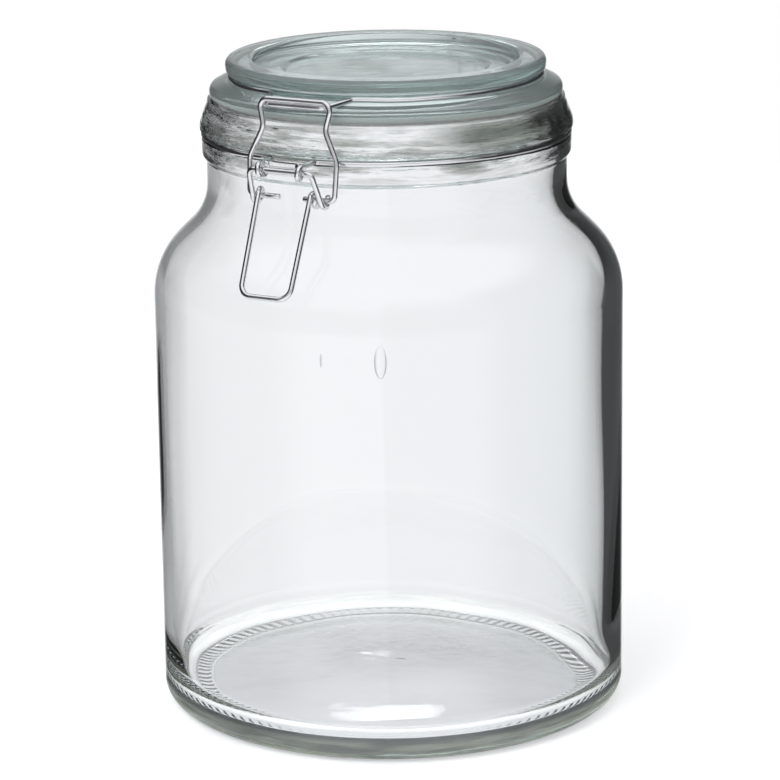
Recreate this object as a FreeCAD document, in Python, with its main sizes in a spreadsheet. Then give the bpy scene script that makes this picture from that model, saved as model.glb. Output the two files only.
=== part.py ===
import FreeCAD, Part
import math
import os
import Sketcher
from FreeCAD import Vector

# Clip-top storage jar of pressed glass, closed: the jar, its glass lid with a sealing ring,
# and the sprung closure bent from round steel wire. Millimetres, +Z up. The origin is the
# centre of the base, the clamp faces -Y and the lid's hinge is at +Y.

SIZES = {
    # the blown jar
    "body_radius": 77.5,
    "body_height": 139.0,
    "shoulder_radius": 27.0,
    "shoulder_slope": 45.0,
    "neck_sweep_radius": 19.0,
    "neck_radius": 59.1,
    "wall": 4.4,
    "heel_radius": 7.5,
    "inner_heel_radius": 14.0,
    "floor_thickness": 7.0,
    "floor_dome": 2.0,
    "bearing_width": 6.0,
    "punt_depth": 1.4,
    "punt_dome": 2.2,
    # the finish: neck, bead, notch for the neck wire, collar and rim, worked out from the mouth
    "mouth_radius": 51.4,
    "mouth_length": 7.5,
    "rim_width": 7.0,
    "rim_rounding": 1.0,
    "rim_rise": 19.3,
    "neck_swell": 0.7,
    "neck_length": 8.15,
    "bead_swell": 2.1,
    "collar_swell": 2.7,
    "collar_crown": 31.0,
    "notch_rise": 7.8,
    "notch_play": 0.1,
    # the wire, the play between its eyes and pins, and the gap between pieces that rest together
    "wire_diameter": 1.8,
    "wire_play": 0.25,
    "piece_gap": 0.3,
    # the sealing ring
    "seal_play": 1.6,
    "seal_width": 6.3,
    "seal_thickness": 2.2,
    # the lid
    "plug_play": 3.0,
    "plug_depth": 2.0,
    "plug_width": 4.0,
    "plug_hollow": 3.2,
    "lip_gap": 0.9,
    "lip_width": 1.1,
    "flange_edge": 2.4,
    "disc_inset": 5.2,
    "disc_rise": 6.6,
    "disc_thickness": 4.7,
    "disc_rounding": 1.6,
    "disc_rim_width": 9.0,
    "groove_depth": 2.7,
    "dish_depth": 3.6,
    "dish_ledge": 9.5,
    "step_depth": 0.9,
    # the neck hoop's two front eyes and the hinge bar at the back
    "eye_half": 7.6,
    "eye_shift": -0.8,
    "eye_reach": 7.9,
    "hinge_half": 9.5,
    "hinge_root_half": 15.0,
    "hinge_eye_half": 3.4,
    "arm_clearance": 0.75,
    # the bail
    "bail_shift": 0.6,
    "bail_foot_half": 15.2,
    "bail_flare_half": 15.6,
    "bail_flare_part": 0.4,
    "bail_waist_half": 11.0,
    "bail_waist_part": 0.715,
    "bail_top_half": 13.2,
    "bail_pin_length": 10.8,
    "bar_clearance": 0.9,
    "bar_drop": 0.7,
    # the lever
    "crank_reach": 4.3,
    "crank_drop": 9.05,
    "coil_gap": 0.4,
    "hook_gap": 1.6,
    "handle_reach": 16.5,
    "handle_drop": 28.8,
    "handle_half": 8.8,
    "handle_shift": -0.5,
    # the lid hoop's catch under the bail's bar
    "catch_inset": 1.0,
    "catch_slack": 0.3,
    "catch_root_half": 14.8,
}

doc = FreeCAD.newDocument("StorageJar")
sheet = doc.addObject("Spreadsheet::Sheet", "Sizes")
for row, (alias, value) in enumerate(SIZES.items(), start=1):
    sheet.set("A%d" % row, alias)
    sheet.set("B%d" % row, repr(value))
    sheet.setAlias("B%d" % row, alias)
doc.recompute()


def size(alias):
    """The value that the sheet holds for one driving dimension."""
    return float(sheet.get(alias))


# ---------------------------------------------------------------- what follows from the sizes

RIM_OUTER = "(Sizes.mouth_radius + Sizes.rim_width)"
NECK = "(%s + Sizes.neck_swell)" % RIM_OUTER
BEAD = "(%s + Sizes.bead_swell)" % RIM_OUTER
COLLAR = "(%s + Sizes.collar_swell)" % RIM_OUTER

# the shoulder: an arc, a straight slope and the sweep into the neck
SHARE = "(1 - cos(Sizes.shoulder_slope))"
SHOULDER_ACROSS = "(Sizes.body_radius - Sizes.shoulder_radius * %s)" % SHARE
SHOULDER_UP = "(Sizes.body_height + Sizes.shoulder_radius * sin(Sizes.shoulder_slope))"
SWEEP_ACROSS = "(%s + Sizes.neck_sweep_radius * %s)" % (NECK, SHARE)
SWEEP_UP = "(%s + (%s - %s) / tan(Sizes.shoulder_slope))" % (SHOULDER_UP, SHOULDER_ACROSS, SWEEP_ACROSS)
NECK_UP = "(%s + Sizes.neck_sweep_radius * sin(Sizes.shoulder_slope))" % SWEEP_UP

BEAD_BOTTOM = "(%s + Sizes.neck_length)" % NECK_UP
NOTCH = "(%s + Sizes.notch_rise)" % BEAD_BOTTOM
RIM = "(%s + Sizes.rim_rise)" % BEAD_BOTTOM

PLUG = "(Sizes.mouth_radius - Sizes.plug_play)"
SEAL_INNER = "(%s + Sizes.seal_play)" % PLUG
SEAL_OUTER = "(%s + Sizes.seal_width)" % SEAL_INNER
SEAL_FOOT = "(%s + Sizes.piece_gap)" % RIM
SEAT = "(%s + Sizes.seal_thickness)" % SEAL_FOOT
LIP_INNER = "(%s + Sizes.piece_gap)" % SEAL_OUTER
FLANGE = "(%s + Sizes.lip_width)" % LIP_INNER
DISC = "(%s - Sizes.disc_inset)" % FLANGE
GROOVE = "(%s - Sizes.groove_depth)" % DISC
DISC_FOOT = "(%s + Sizes.disc_rise + Sizes.wire_diameter)" % RIM
LID_TOP = "(%s + Sizes.disc_thickness)" % DISC_FOOT


def worked(expression):
    """The number that an expression of the sheet's sizes comes to."""
    return float(sheet.evalExpression(expression))


# ---------------------------------------------------------------- turned pieces

def draw_outline(sketch, outline):
    """Draw a closed half-section whose corners follow the sheet.

    Each corner is (radius, height, bend): two expressions, and the radius of the arc that
    leads to the next corner, or None for a straight edge. A positive bend turns left, which
    swells the solid when the outline runs anticlockwise, and a negative one hollows it.
    """
    spots = [Vector(*(float(sketch.evalExpression(term)) for term in corner[:2]), 0) for corner in outline]
    for index, (across, up, bend) in enumerate(outline):
        start, end = spots[index], spots[(index + 1) % len(spots)]
        if bend is None:
            sketch.addGeometry(Part.LineSegment(start, end))
            continue
        reach = float(sketch.evalExpression(bend))
        chord = end - start
        rise = abs(reach) - math.sqrt(reach ** 2 - chord.Length ** 2 / 4)
        side = Vector(chord.y, -chord.x, 0).normalize() * math.copysign(rise, reach)
        sketch.addGeometry(Part.Arc(start, (start + end) / 2 + side, end))
    ends = []
    for index, start in enumerate(spots):
        first = sketch.getPoint(index, 1)
        ends.append((1, 2) if first.distanceToPoint(start) < 1e-6 else (2, 1))
    for index, (across, up, bend) in enumerate(outline):
        following = (index + 1) % len(outline)
        joint = (index, ends[index][1], following, ends[following][0])
        sketch.addConstraint(Sketcher.Constraint("Coincident", *joint))
        for kind, term, place in (("DistanceX", across, spots[index].x), ("DistanceY", up, spots[index].y)):
            if abs(place) < 1e-9:
                axis = -2 if kind == "DistanceX" else -1
                sketch.addConstraint(Sketcher.Constraint("PointOnObject", index, ends[index][0], axis))
                continue
            pinned = sketch.addConstraint(Sketcher.Constraint(kind, -1, 1, index, ends[index][0], place))
            sketch.setExpression("Constraints[%d]" % pinned, term)
        if bend is not None:
            reach = abs(float(sketch.evalExpression(bend)))
            pinned = sketch.addConstraint(Sketcher.Constraint("Radius", index, reach))
            sketch.setExpression("Constraints[%d]" % pinned, "abs(%s)" % bend)


def turned(label, outline):
    """A body made by turning one half-section about Z."""
    body = doc.addObject("PartDesign::Body", label)
    sketch = body.newObject("Sketcher::SketchObject", label + "_section")
    plane = next(part for part in body.Origin.OriginFeatures if part.Role == "XZ_Plane")
    sketch.AttachmentSupport = [(plane, "")]
    sketch.MapMode = "FlatFace"
    draw_outline(sketch, outline)
    doc.recompute()
    revolution = body.newObject("PartDesign::Revolution", label + "_turned")
    revolution.Profile = sketch
    revolution.ReferenceAxis = (sketch, ["V_Axis"])
    revolution.Angle = 360
    body.Tip = revolution
    body.Label = label
    doc.recompute()
    return body


def jar_outline():
    """The glass of the jar, from the centre of the base round to the centre of the floor."""
    body, wall, slope = "Sizes.body_radius", "Sizes.wall", "Sizes.shoulder_slope"
    inward, upward = "%s * cos(%s)" % (wall, slope), "%s * sin(%s)" % (wall, slope)
    notch_floor = BEAD + " - Sizes.wire_diameter + Sizes.notch_play"
    notch_low = NOTCH + " - Sizes.wire_diameter / 2 - Sizes.notch_play"
    notch_high = NOTCH + " + Sizes.wire_diameter / 2 + Sizes.notch_play"
    bead_bend, bead_fall, soft_edge = 1.2, 1.6, 0.4
    bearing = "Sizes.body_radius - Sizes.heel_radius"
    punt = bearing + " - Sizes.bearing_width - 2 * Sizes.punt_depth"
    punt_bend = "-((%s)^2 + Sizes.punt_dome^2) / (2 * Sizes.punt_dome)" % punt
    neck_inner = NECK + " - Sizes.wall"
    mouth_foot = RIM + " - Sizes.mouth_length"
    rounding = "Sizes.rim_rounding"
    inner = "%s - %s" % (body, wall)
    inner_shoulder = "-(Sizes.shoulder_radius - %s)" % wall
    floor_edge = inner + " - Sizes.inner_heel_radius"
    floor_bend = "((%s)^2 + Sizes.floor_dome^2) / (2 * Sizes.floor_dome)" % floor_edge
    return [
        ("0", "Sizes.punt_depth + Sizes.punt_dome", punt_bend),
        (punt, "Sizes.punt_depth", None),
        (bearing + " - Sizes.bearing_width", "0", None),
        (bearing, "0", "Sizes.heel_radius"),
        (body, "Sizes.heel_radius", None),
        (body, "Sizes.body_height", "Sizes.shoulder_radius"),
        (SHOULDER_ACROSS, SHOULDER_UP, None),
        (SWEEP_ACROSS, SWEEP_UP, "-Sizes.neck_sweep_radius"),
        (NECK, NECK_UP, None),
        (NECK, BEAD_BOTTOM, "-%s" % bead_fall),
        ("%s + %s" % (NECK, bead_fall / 2), "%s + %s" % (BEAD_BOTTOM, bead_bend), None),
        (BEAD, "%s - %s" % (notch_low, bead_bend), "%s" % bead_bend),
        ("%s - %s" % (BEAD, soft_edge), notch_low, None),
        (notch_floor, notch_low, None),
        (notch_floor, notch_high, None),
        ("%s - %s" % (COLLAR, soft_edge), notch_high, "%s" % (2 * soft_edge)),
        (COLLAR, "%s + %s" % (notch_high, 2 * soft_edge), "Sizes.collar_crown"),
        (RIM_OUTER, RIM + " - " + rounding, rounding),
        (RIM_OUTER + " - " + rounding, RIM, None),
        ("Sizes.mouth_radius + " + rounding, RIM, rounding),
        ("Sizes.mouth_radius", RIM + " - " + rounding, None),
        ("Sizes.mouth_radius", mouth_foot, None),
        (neck_inner, mouth_foot + " - 2 * (%s - Sizes.mouth_radius)" % neck_inner, None),
        (neck_inner, NECK_UP, "Sizes.neck_sweep_radius + " + wall),
        (SWEEP_ACROSS + " - " + inward, SWEEP_UP + " - " + upward, None),
        (SHOULDER_ACROSS + " - " + inward, SHOULDER_UP + " - " + upward, inner_shoulder),
        (inner, "Sizes.body_height", None),
        (inner, "Sizes.floor_thickness + Sizes.inner_heel_radius", "-Sizes.inner_heel_radius"),
        (floor_edge, "Sizes.floor_thickness", floor_bend),
        ("0", "Sizes.floor_thickness + Sizes.floor_dome", None),
    ]


def lid_outline():
    """The pressed glass lid: dished disc, groove for the hoop, flange, seat and plug."""
    groove_floor = DISC_FOOT + " - Sizes.wire_diameter - 1.5 * Sizes.piece_gap"
    plug_foot = RIM + " - Sizes.plug_depth"
    hollow, hollow_up = PLUG + " - Sizes.plug_width", plug_foot + " + Sizes.plug_hollow"
    dish, dish_up = DISC + " - Sizes.disc_rim_width", LID_TOP + " - Sizes.dish_depth"
    step, step_up = dish + " - Sizes.dish_ledge", dish_up + " - Sizes.step_depth"
    foot, rounding = RIM + " + Sizes.lip_gap", "Sizes.disc_rounding"
    edge, draft, flange_bend = 0.5, 1.1, 9
    return [
        ("0", hollow_up, None),
        (hollow + " - Sizes.plug_hollow", hollow_up, "-1.25 * Sizes.plug_hollow"),
        (hollow, plug_foot, None),
        ("%s - %s" % (PLUG, edge), plug_foot, "1.1 * %s" % edge),
        (PLUG, "%s + %s" % (plug_foot, edge), None),
        ("%s + %s" % (PLUG, edge), SEAT, None),
        (LIP_INNER, SEAT, None),
        (LIP_INNER, foot, None),
        ("%s - %s" % (FLANGE, edge), foot, "%s" % edge),
        (FLANGE, "%s + %s" % (foot, edge), None),
        (FLANGE, foot + " + Sizes.flange_edge", "%s" % flange_bend),
        ("%s + %s" % (GROOVE, draft), groove_floor, None),
        (GROOVE, groove_floor, None),
        (GROOVE, DISC_FOOT, None),
        ("%s - %s" % (DISC, draft), DISC_FOOT, "2 * %s" % draft),
        (DISC, "%s + 1.75 * %s" % (DISC_FOOT, draft), None),
        (DISC, "%s - %s" % (LID_TOP, rounding), rounding),
        ("%s - %s" % (DISC, rounding), LID_TOP, None),
        ("%s + 2 * %s" % (dish, edge), LID_TOP, "2 * %s" % edge),
        (dish, "%s - 2 * %s" % (LID_TOP, edge), None),
        ("%s - %s" % (dish, edge), "%s + %s" % (dish_up, draft), "-1.2 * %s" % draft),
        ("%s - %s - %s" % (dish, edge, draft), dish_up, None),
        (step, dish_up, "Sizes.step_depth"),
        (step + " - Sizes.step_depth", step_up, None),
        ("0", step_up, None),
    ]


def seal_outline():
    """The soft ring, which hangs in the lid's seat just above the rim."""
    rounding = 0.4
    return [
        (SEAL_INNER, SEAL_FOOT, None),
        ("%s - %s" % (SEAL_OUTER, rounding), SEAL_FOOT, "%s" % rounding),
        (SEAL_OUTER, "%s + %s" % (SEAL_FOOT, rounding), None),
        (SEAL_OUTER, SEAT, None),
        (SEAL_INNER, SEAT, None),
    ]


# ---------------------------------------------------------------- bent wire

def bent_path(route):
    """A wire's centre line: straight runs joined by tangent arcs.

    The route is a list of (point, bend radius). A bend never takes more than half of a run,
    so that two bends can follow each other without a straight between them.
    """
    edges = []
    start = route[0][0]
    for (before, _), (corner, bend), (after, _) in zip(route, route[1:], route[2:]):
        arriving, leaving = corner - before, after - corner
        half_turn = arriving.getAngle(leaving) / 2
        if half_turn < 1e-4:
            continue
        reach = min(bend * math.tan(half_turn), arriving.Length / 2, leaving.Length / 2)
        arriving.normalize()
        leaving.normalize()
        into, out = corner - arriving * reach, corner + leaving * reach
        radius = reach / math.tan(half_turn)
        middle = corner + (leaving - arriving).normalize() * radius * (1 / math.cos(half_turn) - 1)
        if start.distanceToPoint(into) > 1e-4:
            edges.append(Part.LineSegment(start, into).toShape())
        edges.append(Part.Arc(into, middle, out).toShape())
        start = out
    edges.append(Part.LineSegment(start, route[-1][0]).toShape())
    return Part.Wire(edges)


def wire_piece(label, route):
    """A round wire of the sheet's diameter, swept along a bent path."""
    path = doc.addObject("Part::Feature", label + "_path")
    path.Shape = bent_path(route)
    section = doc.addObject("Part::Circle", label + "_section")
    section.setExpression("Radius", "Sizes.wire_diameter / 2")
    heading = route[1][0] - route[0][0]
    section.Placement = FreeCAD.Placement(route[0][0], FreeCAD.Rotation(Vector(0, 0, 1), heading))
    swept = doc.addObject("Part::Sweep", label)
    swept.Sections = [section]
    swept.Spine = (path, ["Edge%d" % (index + 1) for index in range(len(path.Shape.Edges))])
    swept.Solid = True
    swept.Frenet = False
    swept.Label = label
    doc.recompute()
    wanted = math.pi * (size("wire_diameter") / 2) ** 2 * path.Shape.Length
    if abs(swept.Shape.Volume / wanted - 1) > 0.002:
        raise ValueError("%s: volume %.2f, wanted %.2f" % (label, swept.Shape.Volume, wanted))
    return swept


def place(facing, side, reach, up):
    """A point beside the jar: sideways, outward and up, at the front (-1) or the back (1)."""
    return Vector(side, facing * reach, up)


def winding(facing, centre, angles, sides):
    """Wire wound round an axis along X: corners of the polygon that its arcs touch.

    centre is (reach, up), angles run from outward (0) through up (90) in degrees, and the
    wire creeps sideways from the first to the second of sides.
    """
    radius = size("wire_diameter") + size("wire_play")
    turns = max(1, round(abs(angles[1] - angles[0]) / 45))
    step = (angles[1] - angles[0]) / turns
    corner = radius / math.cos(math.radians(step / 2))
    route = []
    for index in range(turns):
        part = (index + 0.5) / turns
        angle = math.radians(angles[0] + step * (index + 0.5))
        side = sides[0] + (sides[1] - sides[0]) * part
        spot = place(facing, side, centre[0] + corner * math.cos(angle), centre[1] + corner * math.sin(angle))
        route.append((spot, radius))
    return route


def hoop_run(radius, up, azimuths):
    """Part of a level hoop round the jar, between two azimuths in degrees from +X."""
    parts = max(1, round(abs(azimuths[1] - azimuths[0]) / 30))
    step = (azimuths[1] - azimuths[0]) / parts
    corner = radius / math.cos(math.radians(step / 2))
    route = []
    for index in range(parts):
        angle = math.radians(azimuths[0] + step * (index + 0.5))
        route.append((Vector(corner * math.cos(angle), corner * math.sin(angle), up), radius))
    return route


def turned_back(route):
    """The same route from its other end."""
    return list(reversed(route))


def mirrored(route, shift=0.0):
    """The same route on the other side of the plane X = shift."""
    return [(Vector(2 * shift - spot.x, spot.y, spot.z), bend) for spot, bend in route]


WIRE = size("wire_diameter")
PITCH = WIRE + 0.15
EYE = WIRE + size("wire_play")
TIGHT = 1.1 * WIRE
BAIL_BEND = 1.5 * WIRE
HOOP_RADIUS = worked(BEAD) - WIRE / 2 + 3 * size("notch_play")
LEVER_PIVOT = (HOOP_RADIUS + size("eye_reach"), worked(NOTCH) - EYE)
BAIL_PIVOT = (LEVER_PIVOT[0] - size("crank_reach"), LEVER_PIVOT[1] - size("crank_drop"))
BAIL_BAR = (worked(FLANGE) + size("bar_clearance") + WIRE, worked(DISC_FOOT) - size("bar_drop"))
HINGE = (worked(COLLAR) + size("arm_clearance") + WIRE / 2 + EYE, worked(NOTCH))


def on_hoop(radius, side):
    """How far out a level hoop of this radius is at a sideways distance."""
    return math.sqrt(radius ** 2 - side ** 2)


def around(centre, angle, facing, side):
    """The point of a coil's centre line at an angle, from outward (0) through up (90)."""
    turn = math.radians(angle)
    return place(facing, side, centre[0] + EYE * math.cos(turn), centre[1] + EYE * math.sin(turn))


def neck_hoop_route():
    """From the left front eye, round the notch and its hinge bar at the back, to the right eye."""
    up = worked(NOTCH)
    open_end = -255
    ends, fronts = [], []
    for way in (-1, 1):
        side = size("eye_shift") + way * size("eye_half")
        tip = around(LEVER_PIVOT, open_end, -1, side - way * PITCH)
        eye = winding(-1, LEVER_PIVOT, (90, open_end), (side, side - way * PITCH))
        root = (place(-1, side, on_hoop(HOOP_RADIUS, side), up), TIGHT)
        ends.append([(tip, 0)] + turned_back(eye) + [root])
        fronts.append(-90 + math.degrees(math.asin(side / HOOP_RADIUS)))
    rear, root = size("hinge_half"), size("hinge_root_half")
    rear_angle = math.degrees(math.asin(root / HOOP_RADIUS))
    left = hoop_run(HOOP_RADIUS, up, (fronts[0], -270 + rear_angle))
    right = hoop_run(HOOP_RADIUS, up, (90 - rear_angle, fronts[1]))
    half_bar = [
        (place(1, -root, on_hoop(HOOP_RADIUS, root), up), 1.5 * TIGHT),
        (place(1, -rear, HINGE[0], up), TIGHT),
    ]
    bar = half_bar + turned_back(mirrored(half_bar))
    return ends[0] + left + bar + right + turned_back(ends[1])


def lid_hoop_route():
    """From one hinge eye over the flange, round the groove with its catch, to the other eye."""
    up = worked(DISC_FOOT) - WIRE / 2 - size("piece_gap")
    radius = worked(GROOVE) + WIRE / 2 + 2 * size("notch_play")
    side = size("hinge_eye_half")
    closed_end = 525
    tip = around(HINGE, closed_end, 1, -side - PITCH)
    arm = [(tip, 0)] + turned_back(winding(1, HINGE, (180, closed_end), (-side, -side - PITCH)))
    arm += [
        (place(1, -side, HINGE[0] - EYE, up), 2 * TIGHT),
        (place(1, -side, on_hoop(radius, side), up), TIGHT),
    ]
    root, inset = size("catch_root_half"), size("catch_inset")
    # the catch fits under the straight part of the bar, between its two bends
    half = size("bail_top_half") - BAIL_BEND - size("catch_slack")
    rear_angle = math.degrees(math.asin(side / radius))
    root_angle = math.degrees(math.asin(root / radius))
    # the catch lies just under the bail's bar, a wire and a gap away
    apart = WIRE + 1.2 * size("piece_gap")
    catch_up = BAIL_BAR[1] - math.sqrt(apart ** 2 - inset ** 2)
    left = hoop_run(radius, up, (90 + rear_angle, 270 - root_angle))
    left += [
        (place(-1, -root, on_hoop(radius, root), up), 1.5 * TIGHT),
        (place(-1, -half, BAIL_BAR[0] - inset, catch_up), TIGHT),
    ]
    whole = arm + left
    return whole + turned_back(mirrored(whole))


def lever_route():
    """Open hook, crank, rod through the eyes, crank, coil, handle, coil."""
    rod, pin = LEVER_PIVOT, BAIL_PIVOT
    reach, drop = size("handle_reach"), size("handle_drop")
    # where a crank meets the coil round the pin, and where the handle's leg leaves it
    crank = math.degrees(math.atan2(pin[1] - rod[1], pin[0] - rod[0])) + 90
    arrive = crank + math.degrees(math.asin(EYE / math.hypot(rod[0] - pin[0], rod[1] - pin[1])))
    leave = math.degrees(math.atan2(reach, drop)) + math.degrees(math.asin(EYE / math.hypot(reach, drop)))
    left = size("bail_shift") - size("bail_foot_half") + WIRE + size("coil_gap")
    hook = size("bail_shift") + size("bail_foot_half") - WIRE - size("hook_gap")
    right = hook - WIRE - PITCH - 2 * size("piece_gap")
    rod_right = size("eye_shift") + size("eye_half") + WIRE / 2 + TIGHT + size("piece_gap")
    hook_start, right_turn = 150, 340
    handle = (pin[0] + reach, pin[1] - drop)
    shift, half = size("handle_shift"), size("handle_half")
    route = [(around(pin, hook_start, -1, hook), 0)]
    route += winding(-1, pin, (hook_start, 360 + arrive), (hook, hook))
    route += [(place(-1, rod_right, *rod), TIGHT), (place(-1, left, *rod), TIGHT)]
    route += winding(-1, pin, (arrive, leave - 360), (left, left + PITCH))
    route += [(place(-1, shift + way * half, *handle), 2 * TIGHT) for way in (-1, 1)]
    route += winding(-1, pin, (leave, leave + right_turn), (right, right + PITCH))
    route.append((around(pin, leave + right_turn, -1, right + PITCH), 0))
    return route


def bail_route():
    """From one pin tip up the waisted leg, over the bar and down to the other pin tip."""
    shift, foot = size("bail_shift"), size("bail_foot_half")

    def corner(half, part, bend):
        reach = BAIL_PIVOT[0] + (BAIL_BAR[0] - BAIL_PIVOT[0]) * part
        up = BAIL_PIVOT[1] + (BAIL_BAR[1] - BAIL_PIVOT[1]) * part
        return (place(-1, shift - half, reach, up), bend)

    half = [
        corner(foot - size("bail_pin_length"), 0, 0),
        corner(foot, 0, TIGHT),
        corner(size("bail_flare_half"), size("bail_flare_part"), 3 * WIRE),
        corner(size("bail_waist_half"), size("bail_waist_part"), 3 * WIRE),
        corner(size("bail_top_half"), 1, BAIL_BEND),
    ]
    return half + turned_back(mirrored(half, shift))


# ---------------------------------------------------------------- build, check, write

PIECES = [
    turned("jar", jar_outline()),
    turned("lid", lid_outline()),
    turned("seal_ring", seal_outline()),
    wire_piece("neck_hoop", neck_hoop_route()),
    wire_piece("lid_hoop", lid_hoop_route()),
    wire_piece("lever", lever_route()),
    wire_piece("bail", bail_route()),
]

for thing in doc.Objects:
    if "Invalid" in thing.State or "Error" in thing.State:
        raise RuntimeError("%s did not build" % thing.Label)

os.makedirs("parts", exist_ok=True)
for piece in PIECES:
    if piece.Shape.isNull() or not piece.Shape.isValid() or len(piece.Shape.Solids) != 1:
        raise RuntimeError("%s is not one sound solid" % piece.Label)
    piece.Shape.exportStep("parts/%s.step" % piece.Label)
    print(piece.Label, "volume %.0f mm3" % piece.Shape.Volume, piece.Shape.BoundBox)
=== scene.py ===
import math

import bpy
import numpy as np
from mathutils import Matrix, Vector


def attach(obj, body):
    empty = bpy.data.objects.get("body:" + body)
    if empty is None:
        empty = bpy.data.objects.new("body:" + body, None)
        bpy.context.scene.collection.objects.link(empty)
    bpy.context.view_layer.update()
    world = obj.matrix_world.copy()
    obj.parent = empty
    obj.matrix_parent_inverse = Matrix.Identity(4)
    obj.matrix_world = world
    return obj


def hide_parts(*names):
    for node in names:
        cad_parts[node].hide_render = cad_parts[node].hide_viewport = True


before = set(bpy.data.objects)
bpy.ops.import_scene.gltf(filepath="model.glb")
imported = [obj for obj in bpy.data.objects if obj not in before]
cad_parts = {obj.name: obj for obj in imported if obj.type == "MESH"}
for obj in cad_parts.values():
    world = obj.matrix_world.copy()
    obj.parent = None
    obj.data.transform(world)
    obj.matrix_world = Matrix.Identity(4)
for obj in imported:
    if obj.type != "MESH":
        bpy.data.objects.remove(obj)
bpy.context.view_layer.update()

# A clip-top storage jar: blown glass jar, pressed glass lid, soft seal and bent steel wires.
# Lengths below are in millimetres and become metres when a mesh is made.

MM = 0.001

BODY_RADIUS, BODY_HEIGHT = 77.5, 139.0
SHOULDER_RADIUS, SHOULDER_SLOPE, NECK_SWEEP = 27.0, math.radians(45), 19.0
WALL, HEEL, INNER_HEEL = 4.4, 7.5, 9.0
FLOOR_THICKNESS, FLOOR_DOME = 5.8, 1.6
BEARING_WIDTH, PUNT_DEPTH, PUNT_DOME = 6.0, 1.4, 2.2

MOUTH, MOUTH_LENGTH = 51.4, 7.5
RIM_OUTER, RIM_ROUNDING = 58.4, 1.0
NECK, BEAD, COLLAR = 59.1, 60.5, 61.1
BEAD_BOTTOM, NOTCH, RIM = 184.6, 192.4, 203.9

WIRE, WIRE_PLAY, PIECE_GAP, NOTCH_PLAY = 1.8, 0.25, 0.3, 0.1
PLUG, PLUG_DEPTH, PLUG_WIDTH, PLUG_HOLLOW = 48.4, 2.0, 4.0, 3.2
SEAL_INNER, SEAL_OUTER, SEAL_THICKNESS = 50.0, 56.3, 2.2
SEAL_FOOT = RIM + PIECE_GAP
SEAT = SEAL_FOOT + SEAL_THICKNESS
LIP_INNER, LIP_GAP, FLANGE, FLANGE_EDGE = 56.6, 0.9, 57.7, 2.4
DISC, DISC_FOOT, LID_TOP = 52.5, 212.3, 217.0
GROOVE, DISH, DISH_DEPTH, STEP, STEP_DEPTH = 49.8, 43.5, 3.6, 34.0, 0.9

# spokes of the stippling, and the azimuth that the main view faces
STIPPLE_COUNT, FRONT = 110, math.radians(-61.4)
# sampling of glass sections and of wires: longest step in millimetres, largest turn
GLASS_STEPS, WIRE_STEPS, WIRE_SIDES = (3.2, math.radians(7.5)), (3.0, math.radians(9)), 20

PITCH, EYE, TIGHT = WIRE + 0.15, WIRE + WIRE_PLAY, 1.1 * WIRE
HOOP_RADIUS = BEAD - WIRE / 2 + 3 * NOTCH_PLAY
LEVER_PIVOT = (HOOP_RADIUS + 7.9, NOTCH - EYE)
BAIL_PIVOT = (LEVER_PIVOT[0] - 4.3, LEVER_PIVOT[1] - 9.05)
BAIL_BAR = (FLANGE + 2.7, DISC_FOOT - 0.7)
HINGE = (COLLAR + 0.75 + WIRE / 2 + EYE, NOTCH)
EYE_HALF, EYE_SHIFT = 7.6, -0.8
HINGE_HALF, HINGE_ROOT, HINGE_EYE = 9.5, 15.0, 3.4
BAIL_SHIFT, BAIL_FOOT, BAIL_PIN = 0.6, 15.2, 10.8
BAIL_FLARE, BAIL_WAIST, BAIL_TOP = (15.6, 0.4), (11.0, 0.715), 13.2
COIL_GAP, HOOK_GAP = 0.4, 1.6
HANDLE_REACH, HANDLE_DROP, HANDLE_HALF, HANDLE_SHIFT = 16.5, 28.8, 8.8, -0.5
CATCH_INSET, CATCH_HALF, CATCH_ROOT = 1.0, 10.2, 14.8


# ---------------------------------------------------------------- mesh making

def unit(v):
    """v scaled to length one."""
    return v / np.linalg.norm(v)


def bent_line(corners, run_step, turn_step):
    """Points along straight runs joined by tangent arcs.

    corners is a list of (point, bend radius). An arc starts at its corner's tangent point and
    runs as centre - normal * r * cos(t) + heading * r * sin(t), for t from 0 to the turn.
    """
    points = [np.asarray(point, float) for point, _ in corners]
    stretches = []
    last = points[0]
    for before, corner, after, (_, bend) in zip(points, points[1:], points[2:], corners[1:]):
        heading, leaving = unit(corner - before), unit(after - corner)
        turn = math.acos(float(np.clip(heading @ leaving, -1, 1)))
        if turn < 1e-4:
            continue
        half = math.tan(turn / 2)
        room = min(np.linalg.norm(corner - before), np.linalg.norm(after - corner)) / 2
        reach = min(bend * half, room)
        radius = reach / half
        into = corner - heading * reach
        normal = unit(leaving - heading * (heading @ leaving))
        count = max(2, math.ceil(turn / turn_step))
        t = np.linspace(0, turn, count + 1)[:, None]
        arc = into + normal * radius * (1 - np.cos(t)) + heading * radius * np.sin(t)
        stretches.append(straight(last, into, run_step))
        stretches.append(arc[:-1])
        last = arc[-1]
    stretches.append(straight(last, points[-1], run_step))
    stretches.append(points[-1][None])
    return np.concatenate(stretches)


def straight(start, end, step):
    """Even points from start up to, but not including, end: none if the run has no length."""
    length = np.linalg.norm(end - start)
    count = math.ceil(length / step) if length > 1e-4 else 0
    t = np.linspace(0, 1, count + 1)[:-1, None] if count else np.zeros((0, 1))
    return start + (end - start) * t


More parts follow.
